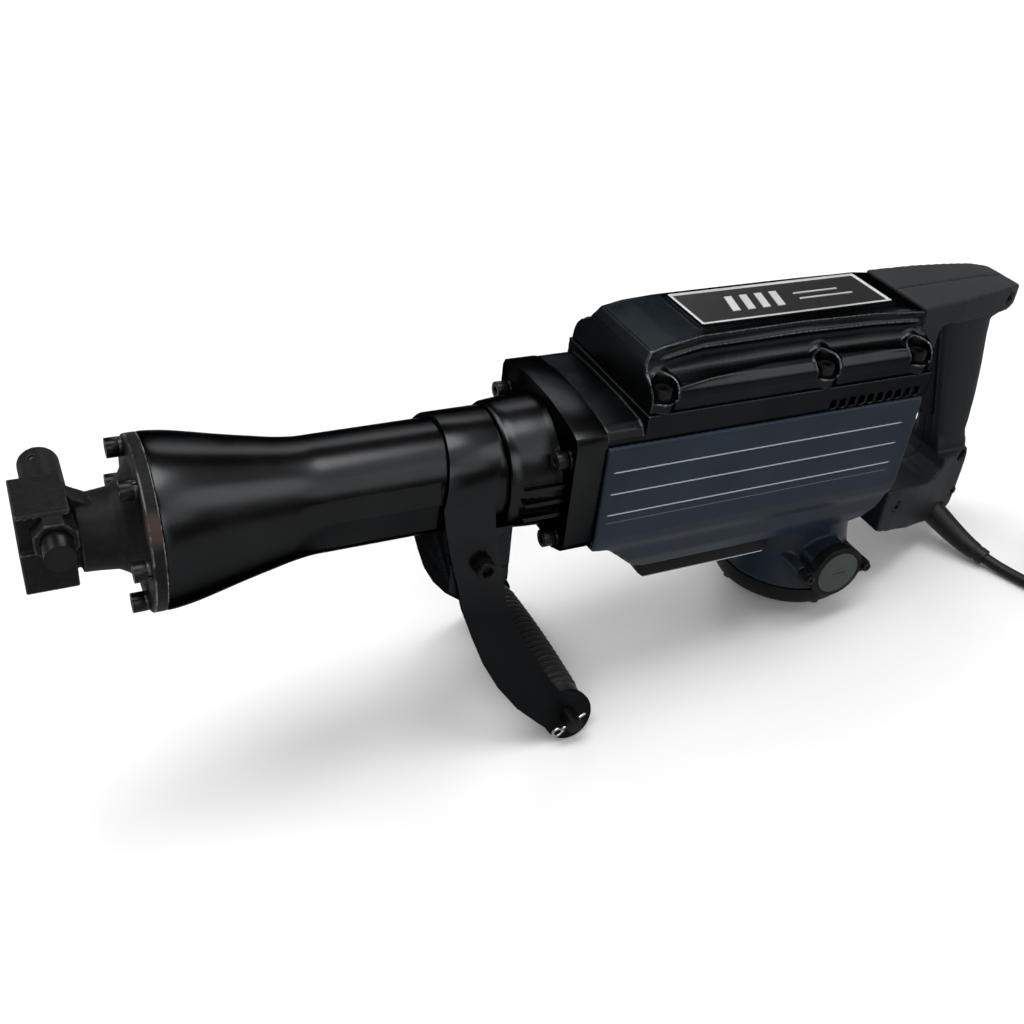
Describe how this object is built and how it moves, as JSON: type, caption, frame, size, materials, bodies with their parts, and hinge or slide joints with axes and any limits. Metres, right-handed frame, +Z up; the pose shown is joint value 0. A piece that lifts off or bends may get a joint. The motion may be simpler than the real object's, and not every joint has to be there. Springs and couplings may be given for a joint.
{
  "type": "electric demolition hammer",
  "caption": "Long corded demolition hammer with a hexagonal tool socket, bolted barrel, blue-grey motor housing, rear D-handle and a swinging side handle.",
  "frame": {"origin": "on the floor under the middle of the tool as it lies on its side handle and tail cover (bounding box of everything but the free cord)", "axes": "+X from the tool socket towards the rear handle, +Z up; the hammer axis is in the XZ plane, 10 degrees nose-up"},
  "size_m": [0.9138, 0.3256, 0.3138],
  "materials": {
    "rough_casting": "rough cast, painted black, worn bright at the edges",
    "barrel_paint": "cast, painted semi-gloss black",
    "cover_paint": "cast, painted satin black",
    "case_paint": "cast, painted satin black",
    "housing_navy": "dark blue-grey moulding",
    "black_plastic": "matt black",
    "handle_plastic": "matt charcoal",
    "cap_plastic": "grey-green",
    "black_steel": "blackened steel",
    "arm_paint": "gloss black",
    "steel": "ground",
    "bright_clip": "bright zinc",
    "plate": "satin",
    "grip_rubber": "ribbed",
    "cord_rubber": "matt",
    "alloy": "machined",
    "copper": "windings and commutator",
    "brass": "bright",
    "carbon": "carbon"
  },
  "bodies": {
    "hammer": {"front_cover": "rough_casting", "retainer_sleeve": "steel", "retainer_spring": "steel", "front_bolts": "black_steel", "front_spring_washers": "steel", "hammer_holder": "steel", "damper_ring": "grip_rubber", "cylinder_case": "barrel_paint", "cylinder_liner": "steel", "stator": "steel", "ball_bearings": "steel", "brush_holders": "brass", "carbon_brushes": "carbon", "brush_caps": "cap_plastic", "brush_clamps": "black_plastic", "brush_clamp_screws": "black_steel", "crankcase": "case_paint", "crank_cover": "cover_paint", "cover_bolts": "black_steel", "flange_bolts": "black_steel", "motor_housing": "housing_navy", "bottom_plate": "black_plastic", "tail_cover": "black_plastic", "tail_screws": "black_steel", "nameplate": "plate", "handle_left": "handle_plastic", "handle_right": "handle_plastic", "handle_screws": "black_steel", "switch_body": "black_plastic", "cord_guard": "cord_rubber", "power_cord": "cord_rubber", "cord_coil": "cord_rubber", "cord_tie": "cord_rubber", "mains_plug": "cord_rubber"},
    "side_handle": {"side_strap": "arm_paint", "clamp_block": "case_paint", "clamp_bolt": "black_steel", "grip_rod": "black_steel", "cotter_pins": "bright_clip"},
    "side_grip": {"side_grip": "grip_rubber"},
    "retainer_collar": {"retainer_washer": "steel"},
    "retainer": {"retainer_pin": "black_steel", "retainer_knob": "rough_casting"},
    "impact_bolt": {"impact_bolt": "steel"},
    "striker": {"striker": "steel", "striker_o_ring": "grip_rubber"},
    "piston": {"piston": "alloy", "piston_o_ring": "grip_rubber", "piston_pin": "steel"},
    "connecting_rod": {"connecting_rod": "alloy", "crank_pin": "steel"},
    "crankshaft": {"crankshaft": "steel", "crank_gear": "steel"},
    "intermediate": {"intermediate_shaft": "steel", "intermediate_gear": "steel"},
    "armature": {"armature_shaft": "steel", "armature_core": "copper", "commutator": "copper", "cooling_fan": "black_plastic"},
    "trigger": {"trigger": "black_plastic"}
  },
  "joints": [
    {"name": "side_handle_swing", "type": "hinge", "parent": "hammer", "child": "side_handle", "pos_m": [-0.10606, 0, 0.22074], "axis": [0.9848, 0, -0.1736], "continuous": true},
    {"name": "side_grip_spin", "type": "hinge", "parent": "side_handle", "child": "side_grip", "pos_m": [-0.05818, 0, 0.02005], "axis": [0, 1, 0], "continuous": true},
    {"name": "retainer_pull", "type": "slide", "parent": "hammer", "child": "retainer_collar", "axis": [0, 1, 0], "range_m": [0, 0.01], "stiffness_N_per_m": 600, "springref_m": -0.008, "deforming": ["retainer_spring"]},
    {"name": "retainer_turn", "type": "hinge", "parent": "retainer_collar", "child": "retainer", "pos_m": [-0.35907, 0, 0.28313], "axis": [0, 1, 0], "range_deg": [0, 180]},
    {"name": "impact_bolt_slide", "type": "slide", "parent": "hammer", "child": "impact_bolt", "axis": [0.9848, 0, -0.1736], "range_m": [-0.01, 0]},
    {"name": "striker_slide", "type": "slide", "parent": "hammer", "child": "striker", "axis": [0.9848, 0, -0.1736], "range_m": [-0.025, 0.055]},
    {"name": "piston_slide", "type": "slide", "parent": "hammer", "child": "piston", "axis": [0.9848, 0, -0.1736], "range_m": [0, 0.044]},
    {"name": "rod_swing", "type": "hinge", "parent": "piston", "child": "connecting_rod", "pos_m": [-0.05177, 0, 0.21117], "axis": [0.1736, 0, 0.9848], "range_deg": [-10.5, 10.5]},
    {"name": "crank_spin", "type": "hinge", "parent": "hammer", "child": "crankshaft", "pos_m": [0.08807, 0, 0.18651], "axis": [0.1736, 0, 0.9848], "continuous": true},
    {"name": "intermediate_spin", "type": "hinge", "parent": "hammer", "child": "intermediate", "pos_m": [0.16686, 0, 0.17262], "axis": [0.1736, 0, 0.9848], "continuous": true},
    {"name": "armature_spin", "type": "hinge", "parent": "hammer", "child": "armature", "pos_m": [0.21302, 0, 0.16448], "axis": [0.1736, 0, 0.9848], "continuous": true},
    {"name": "trigger_pull", "type": "hinge", "parent": "hammer", "child": "trigger", "pos_m": [0.31688, 0, 0.20505], "axis": [0, -1, 0], "range_deg": [0, 6], "stiffness_Nm_per_rad": 1.5, "springref_deg": -14.32}
  ],
  "couplings": [
    {"joint": "intermediate_spin", "follows": "crank_spin", "ratio": -1.8571},
    {"joint": "armature_spin", "follows": "crank_spin", "ratio": 8.0918}
  ]
}
